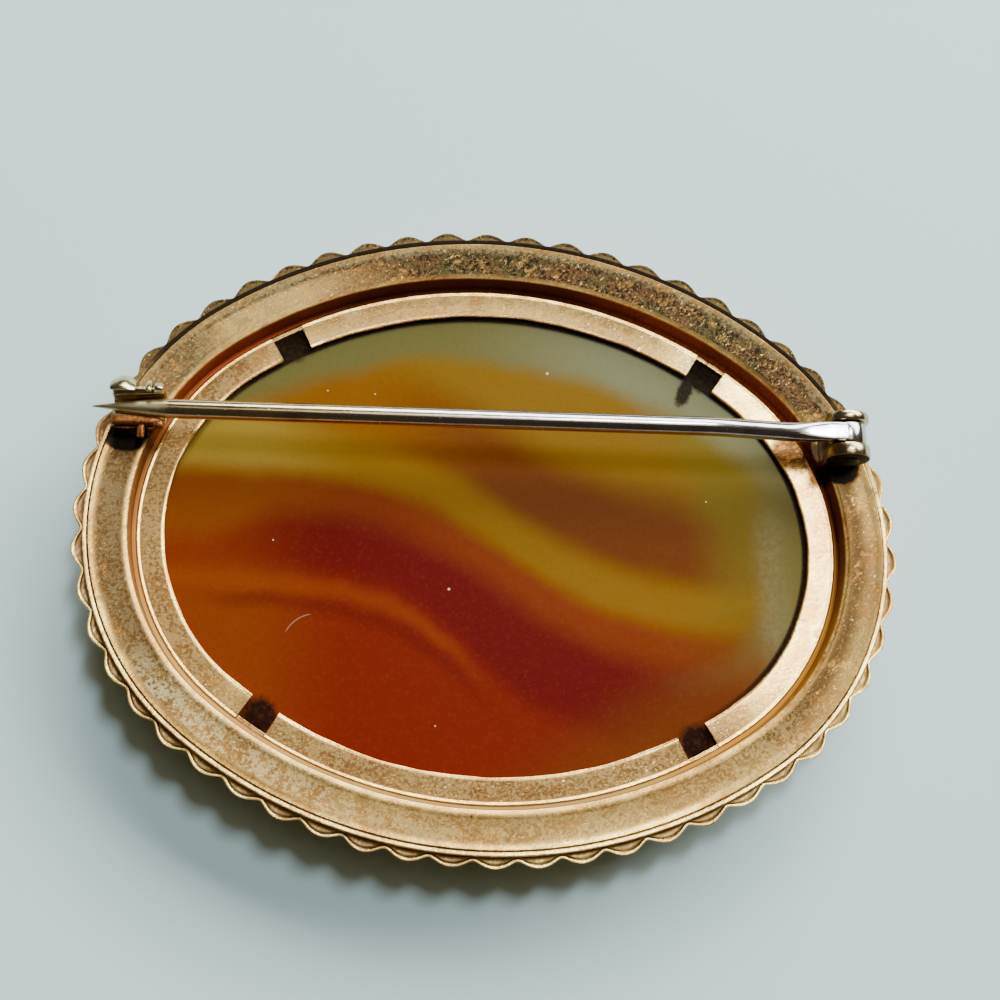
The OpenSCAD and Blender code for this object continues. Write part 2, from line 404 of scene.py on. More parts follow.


# %% [markdown]
# ## Worn gilt
#
# All the brass is gilt, and all of it is worn, but each part wears in its own way. The band was
# brushed on a slant, then spotted by damp: a dark crust with bright scuffs along its upper side,
# fainter at its two ends; the scuffs and other bright flecks are painted lighter as glints. The
# walls that no cloth reaches went copper and red, and their stain also carries painted shade,
# nearly black where a wall faces away from the light. So one function builds the metal from the
# same few layers: a slow drift of hue, brush strokes, a crust where the part is spotted, and a
# stain, with its painted shade, where the part asks for it.

# %% Gilt metal
def gilt(name, pale, deep, brushed, spots, stain, rough, relief=1):
    """Gilt brass. pale and deep are the ends of its hue, brushed is the angle of the strokes.
    spots(p) gives an amount from 0 to 1, the crust's ground and its dark flecks; stain(p, grain) an
    amount and a colour, which on the walls and fittings also paints shade and shadow. Neither is
    metal, so metallic = (1 - 0.75 crust) (1 - 0.65 stain)."""
    p = Paint(name)
    brushed = math.radians(brushed)
    drift = p.noise(p.at, 0.3, 3, 0.6)
    patch = p.noise(p.at, 0.9, 4, 0.65)
    grain = p.noise(p.stretched(2.6, 6.5, brushed), 1, 5, 0.75)
    stroke = p.noise(p.stretched(0.7, 13, brushed), 1, 3, 0.6)
    fine = p.noise(p.at, 5, 6, 0.8)
    hue = (drift + (grain - 0.5) * 0.8 + (patch - 0.5) * 0.7).step(0.3, 0.68)
    dull = (grain * 0.5 + patch * 0.6).step(0.54, 0.68)
    bright = (stroke + (fine - 0.5) * 0.4).step(0.6, 0.7)
    grime = (fine + (patch - 0.5) * 0.6).step(0.6, 0.72)
    # glints: bare metal in the crust, and also a painted highlight, their colour lifted towards
    # pale yellow
    glint = p.noise(p.stretched(4, 8, brushed), 1, 5, 0.75).step(0.57, 0.64)
    cover, ground, flecks = spots(p)
    cover = cover * ((patch * 0.6 + grain * 0.5).step(0.36, 0.54) * 0.9 + 0.1)
    cover = cover * (1 - glint * 0.85)
    crust = p.mix((fine + (patch - 0.5) * 0.5).step(0.47, 0.55), flecks, ground)
    # the stain: real stains, and on the walls and fittings painted shade and shadow
    stained, tint = stain(p, grain)
    height = grain * 0.6 + stroke * 0.3 + fine * (cover * 2 + 0.4)
    return p.finish(
        Base_Color=p.over(
            p.mix(hue, deep, pale), (dull * 0.6, (112, 78, 46)), (bright * 0.45, (255, 236, 160)),
            (grime * 0.4, (58, 38, 20)), (glint * 0.5, (255, 232, 160)), (cover, crust),
            (stained, tint),
        ),
        Metallic=(1 - grime * 0.3) * (1 - cover * 0.75) * (1 - stained * 0.65),
        Roughness=rough + (grain - 0.5) * 0.2 + cover * 0.2 + stained * 0.14,
        Specular_IOR_Level=0.05,
        Normal=p.bump(height * (1 - stained * 0.7), 0.00003 * relief, 0.6),
    )


# %% [markdown]
# ## Where damp left its crust
#
# Each of the next functions says where one part is spotted and in which colours. The places are
# given by x and y, and across the ring by the stored distance from the stone's edge, since wear
# follows the form: a ridge is rubbed clean while the channel beside it keeps its dirt.

# %% Crust
def nowhere(p):
    """No spots at all."""
    return 0 * p.x, (0, 0, 0), (0, 0, 0)


def band_spots(p):
    """Crust on the band: heavy and dark in the channel's upper run, thin and silvery towards the
    catch, brown at the right end, grey-brown at the left end and pale below. The rubbed ridges stay
    clean."""
    out = p.mark("out")
    channel = out.step(0.7, 0.95) * out.step(2.6, 2.2)
    strip = out.step(2.05, 2.4) * out.step(2.79, 2.74)
    whole = out.step(0.75, 1) * out.step(2.79, 2.72)
    thin = p.x.step(-5, -13)
    above = (p.y + (p.noise(p.at, 0.22, 2) - 0.5) * 5).step(3.5, 8.5)
    above = above * (channel * (0.85 - thin * 0.45) + strip * 0.6 + 0.15)
    left = p.x.step(-13, -18) * channel * 0.9
    right = p.x.step(11, 16) * (out.near(1.3, 0.9) * 0.3 + whole * 0.62)
    below = p.y.step(-5, -11) * channel * 0.6
    ground = p.mix(p.noise(p.at, 0.35).step(0.45, 0.58), (96, 66, 36), (78, 66, 34))
    ground = p.mix(p.most(thin * 0.8, strip), ground, (132, 112, 74))
    brown = p.mix(out.step(1.4, 2.1), (96, 66, 34), (118, 94, 56))
    ends = p.mix(p.x.step(-4, 8), (130, 104, 68), brown)
    low = p.mix(p.x.step(-4, -14), (184, 148, 88), (204, 180, 126))
    ends = p.mix(p.y.step(-7, -11), ends, low)
    high = p.y.step(3.5, 8.5)
    dark = p.mix(p.most(strip, thin) * 0.8, (24, 16, 9), (84, 66, 40))
    flecks = p.mix(high, (80, 56, 32), dark)
    return p.most(above, left, right, below), p.mix(high, ends, ground), flecks


def border_spots(p):
    """Crust on the border, heavy along its upper side and thin on its outer wall."""
    amount = p.y.step(2, 10) * (p.z.step(4.2, 5.2) * 0.75 + 0.25)
    return amount, (104, 82, 48), (52, 38, 20)


def bezel_spots(p):
    """Brown patches on the flat of the lip, fewer along the top and none at the right."""
    out = p.mark("out")
    flat = out.step(-1.18, -1.05) * out.step(0.1, 0)
    light = p.y.step(7, 11) * p.x.step(14, 8) * 0.6
    amount = p.most(p.y.step(-7, -12), p.x.step(-11, -16), light) * flat * 0.85
    return amount, (164, 127, 73), (84, 54, 28)


# %% [markdown]
# ## Stained walls and painted shade
#
# Upright faces are stained all over, because no finger or cloth reaches them. Some of these layers
# also paint shade and shadow: the gutter wall is darkest above, the band is black under the near
# side of the hinge and of the catch, a dark line runs beside the collar along the top, and the
# fittings are darker on their shaded sides. Here the grain of the metal frays the edges of each
# stain, so that none of them ends in a drawn line.

# %% Stains
def band_walls_and_shade(p, grain):
    """The wall in the gutter, copper on the left, near black and dark red above, ochre on the right
    and brown below: a stain with painted shade, darkest above where the wall faces away from the
    light. Also the black foot of the hinge and of the catch, a painted shadow on the band."""
    left = p.mix(p.y.step(-2, -8), (138, 82, 36), (152, 112, 56))
    right = p.mix(p.y.step(6, -7), (110, 36, 10), (166, 108, 32))
    above = p.mix(abs(p.x + 3).step(4, 13), (104, 38, 16), (156, 58, 18))
    # the wall's stain also paints shade: near black and dark red above, where the wall faces away
    # from the light
    tint = p.over(
        p.mix(p.x.step(-6, -14), (146, 112, 60), left),
        (p.x.step(8, 15), right),
        ((p.y + (grain - 0.5) * 3).step(2, 10),
         p.mix(p.x.step(3, 10) * grain.step(0.3, 0.7), above, (236, 116, 36))),
    )
    # the foot patches are a painted shadow, nearly black, on the band under the near side of the
    # catch and of the hinge
    foot = 0 * p.x
    for x, y, half_x, half_y in ((-21.2, 4.1, 1.3, 0.85), (20.3, 5.25, 1.15, 0.95)):
        u, v = (p.x - x) / half_x, (p.y - y) / half_y
        foot = p.most(foot, (u * u + v * v + (grain - 0.5) * 0.8).step(1.25, 0.75))
    deep = p.mark("out").step(0.66, 0.575)
    return p.most(deep * 0.94, foot * 0.97), p.mix(foot, tint, (18, 10, 6))


def bezel_walls(p, grain):
    """The bezel's outer wall, and an orange-brown patch on the lip beside the hinge."""
    wall = p.z.step(LIP_TOP - 0.12, LIP_TOP - 0.3) * 0.6
    u, v = p.x - 17.6, p.y - 6.6
    patch = (u * u + v * v + (grain - 0.5) * 1.5).step(1.6, 0.5)
    tint = p.mix(grain.step(0.45, 0.6), (84, 40, 14), (190, 120, 48))
    return p.most(wall, patch * 0.9), p.mix(patch, (150, 100, 46), tint)


def scallop_hollows_and_collar_shadow(p, grain):
    """The hollows behind the scallops, purple-brown on the left, tan below and olive-brown above,
    and along the top a dark line of painted shadow where the collar meets them."""
    tint = p.mix(p.x.step(-12, -20), (136, 102, 60), (104, 62, 46))
    tint = p.mix(p.y.step(4, 12), tint, (100, 80, 44))
    # painted shadow: the dark line beside the collar along the top
    line = p.mark("out").step(3.16, 3.1) * p.y.step(6.5, 10) * p.z.step(4.9, 5.1)
    hollow = p.mark("hollow") * (grain.step(0.35, 0.6) * 0.35 + 0.55)
    return p.most(hollow, line * 0.95), p.mix(line, tint, (26, 15, 8))


def painted_fitting_shade(p, grain):
    """Painted shade on the fittings: darker low down towards the band, nearly black on the hinge's
    outer face, which faces away from the light, and orange-brown on the near side of the catch, a
    painted reflection in shade."""
    # painted shade: darker low down towards the band
    low = p.z.step(PIN_Z - 0.3, BAND_TOP + 0.1) * 0.6
    over = p.y - p.x * math.tan(SLANT) - PIN_Y
    # painted shade: nearly black on the hinge's outer face
    face = over.step(-1.38, -1.46) * p.x.step(17, 18)
    # the near side of the catch: a painted orange-brown reflection in shade
    near_side_reflection = over.step(-0.2, -0.6) * p.x.step(-18, -18.8) * 0.95
    amber = p.mix(grain.step(0.42, 0.6), (80, 30, 8), (168, 100, 34))
    tint = p.mix(near_side_reflection, (120, 72, 30), amber)
    return p.most(low, near_side_reflection, face * 0.95), p.mix(face, tint, (30, 12, 8))


# %% [markdown]
# ## Four gilts
#
# The four parts differ in hue, in the angle of their strokes and in polish. The fittings are the
# smoothest and palest, because the gilding there is worn through.

# %% The gilt of each part
gilt_band = gilt("gilt_band", (240, 188, 100), (190, 130, 62), 48, band_spots, band_walls_and_shade, 0.27)
gilt_bezel = gilt(
    "gilt_bezel", (240, 190, 104), (196, 136, 70), 20, bezel_spots, bezel_walls, 0.22, 0.8,
)
gilt_border = gilt(
    "gilt_border", (240, 194, 112), (180, 128, 66), 70, border_spots, scallop_hollows_and_collar_shadow, 0.24,
)
gilt_fitting = gilt(
    "gilt_fitting", (226, 206, 160), (178, 146, 104), 85, nowhere, painted_fitting_shade, 0.2, 0.6,
)

# %% [markdown]
# ## Front border
#
# The border was stamped from one sheet: a smooth bulge to the front, fluted out to 54 scallops, and
# a thin collar turned up towards the back. From behind, each scallop is a small hollow inside a
# pale cut edge, but those along the top are filled and look like low domes. Two profiles are
# drawn, one through a notch and one through a scallop's tip, and every station lies between them.
# The scallop's own shape is |cos| with its sharp notch softened, and each one differs a little in
# reach, as the punch left them.

# %% Front border
PER_SCALLOP = 18


def scallop_share(turns):
    """0 in a notch and 1 at a tip: (sqrt(cos^2 + e^2) - e) / (sqrt(1 + e^2) - e)."""
    soft = 0.22
    wave = np.sqrt(np.cos(math.pi * turns) ** 2 + soft**2) - soft
    return wave / (math.sqrt(1 + soft**2) - soft)


collar = [
    (COLLAR_IN, BAND_TOP - 0.8, 0), (COLLAR_IN, BAND_TOP - 0.07, 0.015),
    (COLLAR_OUT, BAND_TOP - 0.035, 0.05),
]
inside = [
    (1.3, 0, 0.25), (0.7, 0, 0.25), (-0.9, 1.6, 0.2), (-0.9, 2.6, 0.05), (0.95, 3.0, 0.05),
    (1.9, 1.9, 0.1), (2.4, 5.2, 0.05),
]
at_notch = rounded(collar + [
    (3.11, 5.3, 0.03), (3.14, 5.29, 0.02), (3.17, 5.35, 0.04), (VALLEY, 5.37, 0.07),
    (3.33, 4.9, 0.1), (3.1, 3.4, 0.5), (2.6, 1.3, 0.5),
] + inside)
tip = VALLEY + SCALLOP_OUT
at_tip = rounded(collar + [
    (3.14, 5.25, 0.06), (tip - 0.36, 5.265, 0.14), (tip - 0.2, 5.345, 0.09), (tip, 5.38, 0.09),
    (tip - 0.02, 4.95, 0.15), (3.42, 3.4, 0.6), (2.68, 1.3, 0.5),
] + inside)
turns = np.arange(SCALLOPS * PER_SCALLOP) / PER_SCALLOP
border_s = turns / SCALLOPS * oval_length(VALLEY)
uneven = np.random.default_rng(11).uniform(0.8, 1.0, SCALLOPS + 1)
uneven[0] = 1.0
reach_of_each = uneven[np.floor(turns + 0.5).astype(int) % SCALLOPS]
share = (scallop_share(turns) * reach_of_each)[:, None, None]
border_out, border_z = np.moveaxis(at_notch + share * (at_tip - at_notch), -1, 0)
order = np.arange(len(at_tip))
in_hollow = ((order >= 12) & (order < 21)) * ramp(border_z, 5.335, -0.06)
upper = ramp(on_oval(border_s, VALLEY, VALLEY)[:, 1:], 5, 8)
border_z = border_z + in_hollow * upper * 0.12
sag = (1 + wander(border_s, oval_length(VALLEY), 3))[:, None] / 2
border_z = border_z - 0.03 * ramp(border_z, 4, 1.4) * sag
piece(
    "front_border", [skin(ring(border_s, VALLEY, border_out, border_z))], gilt_border, "brooch",
    "frame", {"out": border_out, "hollow": in_hollow},
)

# %% [markdown]
# ## Back band
#
# The band is a strip bent to the oval and soldered inside the collar. Rolling left it with two
# raised edges and a shallow channel, and a wall that drops into the gutter round the bezel. Both
# raised edges slope inwards by some ten degrees, since that is what mirrors the lamp. It is one
# profile carried round, with its edges a little uneven, because straight edges catch the light
# in one hard line and a worn brooch never does. The channel leans outwards at the right and
# inwards at the lower left, which is why the photo shows it brown there and silvery here.

# %% Back band
foot = FOOT_Z - BAND_TOP
band_profile = rounded([
    (BAND_IN, foot, 0), (BAND_IN, -0.25, 0.05), (BAND_IN + 0.01, -0.1, 0.06),
    (BAND_IN + 0.2, -0.04, 0.1), (BAND_IN + 0.4, 0.01, 0.12), (BAND_IN + 0.55, -0.03, 0.08),
    (BAND_IN + 0.8, -0.055, 0.16), (1.8, -0.075, 0.25), (BAND_OUT - 0.45, -0.05, 0.16),
    (BAND_OUT - 0.04, 0.01, 0.03), (BAND_OUT, -0.01, 0.015), (BAND_OUT, -0.2, 0.05),
    (BAND_OUT, -0.75, 0), (BAND_OUT - 0.4, -0.75, 0), (BAND_OUT - 0.4, -0.55, 0),
    (BAND_IN + 0.35, -0.55, 0.03), (BAND_IN + 0.3, foot, 0),
], BAND_TOP)
band_s = evenly(720, BAND_OUT)
band_out, band_z = carried(band_profile, len(band_s))
across = band_profile[:, 0]
on_top = ramp(band_profile[:, 1], BAND_TOP - 0.3, 0.2)
inner_side = ramp(across, 1.6, -0.8)
inner_wave, outer_wave = [
    wander(band_s, oval_length(BAND_OUT), seed, waves)[:, None]
    for seed, waves in ((5, (4, 7, 13, 22, 37, 61)), (6, (3, 8, 15, 27, 44, 70)))
]
band_z += 0.018 * on_top * (inner_wave * inner_side + outer_wave * (1 - inner_side)) - 0.012
band_out += 0.03 * ramp(abs(across - 1.65), 1, -1) * inner_wave
x, y = on_oval(band_s, BAND_OUT, 1.7).T
to_left = ramp(y, -6, -5) * ramp(x, -2, -9)
lean = np.radians(3.5 * to_left - 4.5 * ramp(x, 8, 9) + ramp(y, -10, -5))[:, None]
in_channel = ramp(across, 0.75, 0.3) * ramp(across, 2.6, -0.25)
band_z += on_top * in_channel * np.tan(lean) * (across - 1.7)
piece(
    "back_band", [skin(ring(band_s, BAND_OUT, band_out, band_z))], gilt_band, "brooch",
    "back_band", {"out": band_out},
)

# %% [markdown]
# ## Gutter
#
# Between the band and the bezel lies a narrow gutter. Solder stands in it almost as high as the lip
# and has taken the colour of the wall, so what shows there is one warm line and no black slit. It
# is one more ring, a fillet that climbs from the lip to the band.

# %% Gutter
gutter_top = LIP_TOP - 0.06
foot = 3.1 - gutter_top
gutter_profile = rounded([
    (0.315, foot, 0.02), (0.315, 0, 0.01), (0.42, 0.02, 0.05), (BAND_IN - 0.01, 0.07, 0.02),
    (BAND_IN - 0.01, foot, 0.02),
], gutter_top)
gutter_s = evenly(480, BAND_IN)
gutter_out, gutter_z = carried(gutter_profile, len(gutter_s))
gutter_wave = wander(gutter_s, oval_length(BAND_IN), 12)[:, None]
gutter_z += ramp(gutter_z, 3.5, 0.5) * 0.02 * gutter_wave
piece(
    "gutter_solder", [skin(ring(gutter_s, BAND_IN, gutter_out, gutter_z))], gilt_band, "brooch",
    "back_band", {"out": gutter_out},
)

# %% [markdown]
# ## Bezel
#
# The bezel is a thin wall round the stone. Its top was cut at four places, and the four tongues
# between the cuts were bent in over the stone's back. Again two profiles are drawn, one through
# the lip and one through a notch, where only the wall is left. The station list has a pair of
# stations close together at each cut, so the lip ends in a steep face. The bent tongues rise a
# little towards their ends, because metal springs back most where nothing holds it. The lip leans
# inwards most at the right, where the photo shows it burnt out by the lamp.

# %% Bezel
LIP = 1.3
HALF_NOTCH = 0.95
foot = FOOT_Z - LIP_TOP
lip_profile = rounded([
    (0.3, foot, 0), (0.3, -0.02, 0.05), (0.24, 0.005, 0.04), (0.06, -0.03, 0.06),
    (-0.7, -0.065, 0.2), (-LIP + 0.14, -0.095, 0.06), (-LIP, -0.135, 0.03), (-LIP, -0.25, 0.03),
    (0.05, -0.26, 0.05), (0.05, foot, 0),
], LIP_TOP)
wall_top = [(out, -0.13, 0.01) for out in (0.27, 0.24, 0.19, 0.15, 0.11, 0.08)]
cut_profile = rounded(
    [(0.3, foot, 0), (0.3, -0.14, 0.04), *wall_top, (0.05, -0.14, 0.01), (0.05, foot, 0)], LIP_TOP,
)
bezel_round = oval_length(0)
notch_middle = END_R * JOINT + SIDE_R * (NOTCH_TURN - JOINT)
notches = np.array([notch_middle, bezel_round / 2 - notch_middle])
notches = np.concatenate([notches, notches + bezel_round / 2])
cuts = (notches[:, None] + np.array([-1, 1]) * HALF_NOTCH).ravel()
close = (cuts[:, None] + np.array([-0.02, 0.02])).ravel()
bezel_s = np.sort(np.concatenate([evenly(600, 0), close]))
from_cut = np.abs(bezel_s[:, None] - notches).min(1) - HALF_NOTCH
kept = ramp(from_cut, -0.015, 0.03)[:, None, None]
bezel_out, bezel_z = np.moveaxis(cut_profile + kept * (lip_profile - cut_profile), -1, 0)
inward = ramp(bezel_out, 0.1, -LIP - 0.1)
spring = np.exp(-np.clip(from_cut, 0, None) / 0.7)[:, None]
lip_wave = wander(bezel_s, bezel_round, 8, (4, 9, 17, 31, 52))[:, None]
to_right = ramp(on_oval(bezel_s, 0, 0)[:, :1], 4, 8)
bezel_z = bezel_z + inward * (0.07 * spring + 0.012 * lip_wave + 0.05 * (1 - to_right))
bezel_out = bezel_out + kept[..., 0] * inward * 0.035 * lip_wave
piece(
    "bezel", [skin(ring(bezel_s, 0, bezel_out, bezel_z))], gilt_bezel, "brooch", "bezel",
    {"out": bezel_out},
)

# %% [markdown]
# ## The agate's colours
#
# The stone is what the eye goes to. Its bands all follow one s-shaped line: high on the left,
# falling through the middle and level again on the right. So the colour is a function of how far a
# point lies above or below that line, w = y - S(x), bent a little by slow noise. A golden band lies
# on the line, brown above it, orange and a deep red band below. A second, oval line marks where
# the grey-olive of the upper and right edge begins. Because the colour depends on x and y alone,
# it runs through the stone and shows on its front too.

# %% Bands of the agate
LIGHT = 1.68


def matt(red, green, blue):
    """Base of a matt surface that is to read as this colour. The light on the table is LIGHT times
    what white paper needs, so the linear value is divided by it."""
    return (*[c / LIGHT for c in colour(red, green, blue)[:3]], 1.0)


def bands(p, slow, cloud):
    """Colours on both sides of the golden band's line, S(x) = 0.4 - 4.1 tanh((x - 0.9) / 7)."""
    left = p.x.step(-7, -15)
    line = 0.4 - 4.1 * p.math("TANH", (p.x - 0.9) / 7)
    w = p.y - line + slow * 1.6 + cloud * 0.5
    far = w + p.x.step(-6, 2) * 1.6 - p.x.step(4, 12) * 0.8
    vein = (far + cloud * 0.4).near(-8.8, 0.9) * p.x.step(3, -3) * p.x.step(-18, -13)
    halo = (far + cloud * 0.3).near(-7.7, 0.9) * p.x.step(1, -3)
    brown = p.mix(p.x.step(-9, 1), (154, 92, 6), (126, 60, 3))
    golden = p.mix(left, (158, 108, 6), (174, 138, 44))
    orange = p.mix(left, (146, 56, 3), (154, 74, 3))
    dark_red = p.mix(p.x.step(-9, -17), (118, 10, 3), (146, 50, 4))
    rust = p.mix(left, (140, 32, 3), (152, 62, 4))
    return p.over(
        brown,
        (w.step(4.6, 8), (152, 108, 12)),
        ((w - left * 1.2).step(2.5, 0.5), golden),
        (w.step(-0.3, -2), orange),
        ((w + p.x.step(-12, -17) * 2).step(-2.2, -4.6), dark_red),
        (far.step(-5.9, -8), rust),
        (vein * 0.5, (112, 14, 3)),
        (halo * 0.45, (168, 72, 5)),
        ((p.x * 0.8 - p.y).step(13, 19) * 0.7, (130, 64, 5)),
    )


def rim_layers(p, slow, cloud):
    """Greenish, grey-olive and veiled layers near the stone's edge, outside the oval
    E = ((x + 2) / 18)^2 + (y / 10.8)^2 = 1."""
    across, up = (p.x + 2) / 18, p.y / 10.8
    rim = across * across + up * up + slow * 0.25 + cloud * 0.12
    green = rim.step(0.55, 0.95) * p.x.step(7, 13) * p.y.step(-7, 0)
    grey = p.over(
        p.mix(p.x.step(-4, 8), (122, 112, 56), (144, 140, 98)),
        (p.x.step(9, 14) * p.y.step(9, 3), (130, 112, 52)),
    )
    rim = rim - p.x.step(10, 15) * p.y.step(9, 4) * 0.1
    rim = rim + p.x.step(-4, -10) * p.y.step(4, 8) * 0.14
    allowed = (p.y + p.x.step(4, 12) * 3).step(-6, 0.5)
    veil = (p.x + p.y * 0.08).near(16.6, 1.6) * p.y.step(4.5, 1) * p.y.step(-8, -4)
    veil = veil * (p.noise(p.at, 2.4, 6, 0.85).step(0.42, 0.62) * 0.6 + 0.4)
    return (
        (green * 0.75, (134, 112, 24)), (rim.step(0.93, 1.2) * allowed, grey),
        (veil * 0.5, (160, 150, 112)),
    )


print("brown of the agate, linear:", [round(c, 3) for c in matt(154, 92, 6)[:3]])

# %% [markdown]
# ## Pits and dirt on the agate
#
# The back of a stone is less finely polished than its front. It has a few chipped pits and one
# curved scratch, which are pale, because the broken stone scatters the light. Dark grime has
# gathered at its four notches and in one smudge along the top, and along the top and right the
# stone's edge under the lip is darkened by a painted shadow.

# %% Agate
PITS = (
    (2.9, 10.5, 0.11), (-10.1, 8.4, 0.06), (-7.3, 8.4, 0.06), (-2.2, -3.1, 0.1),
    (-12.5, -0.9, 0.06), (-2.5, -11, 0.06), (12.7, 3.2, 0.07),
)
notch_x = math.cos(NOTCH_TURN) * (SIDE_R - 0.6)
notch_y = math.sin(NOTCH_TURN) * (SIDE_R - 0.6) - 4 * TRI


def chipped(p):
    """How far the stone is chipped: its pits and the scratch, a short arc round one point."""
    chips = 0 * p.x
    for x, y, size in PITS:
        chips = p.most(chips, p.distance(x, y, BACK_Z).step(size, size * 0.4))
    u, v = p.x + 9.6, p.y + 6.9
    scratch = p.math("SQRT", u * u + v * v).near(1.85, 0.05)
    return p.most(chips, scratch * p.x.step(-9.9, -10.2) * p.y.step(-6.3, -6) * 0.3)


def dirt_and_lip_shadow(p, cloud, grain):
    """Dark marks on the stone: a smudge of grime, the four notches, and a painted shadow of the lip
    along the stone's edge at the top and right.
    """
    smudge = (p.x - p.y * 0.25).near(8.75, 1) * p.y.near(10, 2.1)
    smudge = (smudge + (p.noise(p.at, 2.5, 4, 0.7) - 0.5) * 0.6).step(0.35, 0.75)
    # under the lip at the top and right: a painted shadow, a dark line along the stone's edge
    lip_shadow = p.mark("inset").step(1.62, 1.42) * (p.x * 0.5 + p.y).step(-7, 2)
    dirt_and_shadow = p.most(smudge * 0.92, lip_shadow * 0.95)
    for x in (-notch_x, notch_x):
        for y in (-notch_y, notch_y):
            away = p.distance(x, y, BACK_Z) + cloud * 0.5 + (grain - 0.5) * 0.5
            dirt_and_shadow = p.most(dirt_and_shadow, away.step(1.3, 0.7) * 0.95)
    return dirt_and_shadow


def agate_paint():
    p = Paint("agate", matt)
    slow = p.noise(p.at, 0.13) - 0.5
    cloud = p.noise(p.at, 0.45, 4, 0.55) - 0.5
    grain = p.noise(p.at, 4.2, 6, 0.75)
    polish = p.noise(p.stretched(0.6, 3, 0.3), 1, 4, 0.6)
    dirt_and_shadow = dirt_and_lip_shadow(p, cloud, grain)
    return p.finish(
        Base_Color=p.over(
            bands(p, slow, cloud), *rim_layers(p, slow, cloud),
            (grain.step(0.5, 0.75) * 0.1, (200, 130, 50)),
            (grain.step(0.5, 0.28) * 0.14, (70, 20, 4)),
            (chipped(p), colour(220, 196, 160)),
            # grime, and the painted shadow under the lip, in dark brown
            (dirt_and_shadow, p.mix(grain.step(0.45, 0.65), (22, 12, 7), (70, 34, 16))),
        ),
        Roughness=0.4 + (polish - 0.5) * 0.14 + grain * 0.06 + dirt_and_shadow * 0.2,
        IOR=1.54,
        Specular_IOR_Level=0.03,
        Normal=p.bump(grain * 0.5 + polish * 0.6, 0.000012, 0.5),
    )


agate = agate_paint()
print("the notches lie at", round(notch_x, 2), round(notch_y, 2), "and mirrored")

# %% [markdown]
# ## The stone
#
# A cabochon is sawn flat, domed on a wheel and given a narrow straight girdle. The skin starts in
# the middle of the flat back, runs out to the edge, turns over a tiny bevel, goes down the girdle
# and closes over the dome. The dome is part of an ellipsoid, the same one as in the CAD solid.

# %% Stone
back_rows = (0.08, 0.2, 0.35, 0.5, 0.65, 0.76, 0.82, 0.86, 0.89, 0.91, 0.93, 0.96, 0.994)
front_rows = (0.985, 0.95, 0.9, 0.82, 0.72, 0.6, 0.45, 0.3, 0.15, 0.05)
edge = on_oval(evenly(360, 0), 0, 0)


def dome_height(x, y):
    """Height of the dome's surface: z0 + h (1 - sqrt(1 - (x/a)^2 - (y/b)^2)), with h = 6."""
    a, b = 1.155 * stone_high[:2]
    inside = np.clip(1 - (x / a) ** 2 - (y / b) ** 2, 0, None)
    return stone_low[2] + 6 * (1 - np.sqrt(inside))


def stone_row(share, height):
    """The stone's edge drawn in to a share of its size, at a height."""
    return np.column_stack([edge * share, np.broadcast_to(height, len(edge))])


rows = [stone_row(share, BACK_Z) for share in back_rows]
rows += [stone_row(0.999, BACK_Z - 0.03), stone_row(1, BACK_Z - 0.12)]
rows += [stone_row(1, dome_height(*edge.T) + 0.05)]
rows += [stone_row(share, dome_height(*edge.T * share)) for share in front_rows]
stone_skin = skin(np.stack(rows), closed=False)
x, y = np.abs(stone_skin[0][:, :2]).T
from_end = np.hypot(x - 3 * TRI, y) - END_R
from_side = np.hypot(x, y + 4 * TRI) - SIDE_R
inset = -np.where(y < (x - 3 * TRI) * 4 / 3, from_end, from_side)
piece("agate", [stone_skin], agate, "brooch", "stone", {"inset": inset})

# %% [markdown]
# ## Small parts on the pin's line
#
# The hinge and the catch lie on the line of the pin, which is turned two degrees from the long
# axis. Their forms are few: a rounded block, a plate with a hole, a bar bent round the catch's
# axis, and things turned on a lathe. Each gets its own short formula with rounded edges, since an
# edge with no radius shows no highlight and looks drawn rather than made.

# %% Blocks and plates
def line_skin(grid, closed=False):
    """Skin of a part drawn along X, turned by the pin's slant and moved to its line."""
    c, s = math.cos(SLANT), math.sin(SLANT)
    x, y, z = np.moveaxis(grid, -1, 0)
    return skin(np.stack([x * c - y * s, PIN_Y + x * s + y * c, z], -1), closed)


def block(low, high, radius, steps=4):
    """A rounded block: middle + (half - r) sign(n) + r n, for normals n over the whole sphere."""
    low, high = np.array(low, float), np.array(high, float)
    middle, half = (low + high) / 2, (high - low) / 2
    quarter = np.linspace(0, math.pi / 2, steps)
    up = np.concatenate([-quarter[::-1], quarter])[:, None]
    around = np.concatenate([quarter + k * math.pi / 2 for k in range(4)])
    n = np.broadcast_arrays(np.cos(up) * np.cos(around), np.cos(up) * np.sin(around), np.sin(up))
    sign_z = np.repeat([-1, 1], steps)[:, None]
    signs = np.broadcast_arrays(*quadrant(np.repeat(np.arange(4), steps)), sign_z)
    return middle + (half - radius) * np.stack(signs, -1) + radius * np.stack(n, -1)


def plate(x, z, y0, y1, outline, hole, soft):
    """A plate with a hole, from y0 to y1. outline(angle) is its outer radius r. A section with a
    soft rim, (r, y) with r drawn in by a share of itself, is carried round the hole's axis."""
    angle = np.arange(96)[:, None] / 48 * math.pi
    r = outline(angle)
    inner = np.full_like(r, hole)
    most = soft / r.min()
    small, less = r * (1 - most), r * (1 - 0.3 * most)
    radii = [inner + 0.03, small, less, r, r, less, small, inner + 0.03, inner, inner]
    radii = np.hstack(radii)
    ys = [y0, y0, y0 + 0.3 * soft, y0 + soft, y1 - soft, y1 - 0.3 * soft, y1, y1]
    ys = np.broadcast_to(ys + [y1 - 0.03, y0 + 0.03], radii.shape)
    return np.stack([x + radii * np.cos(angle), ys, z + radii * np.sin(angle)], -1)


print("a block has", block((0, 0, 0), (1, 1, 1), 0.1).reshape(-1, 3).shape[0], "points")

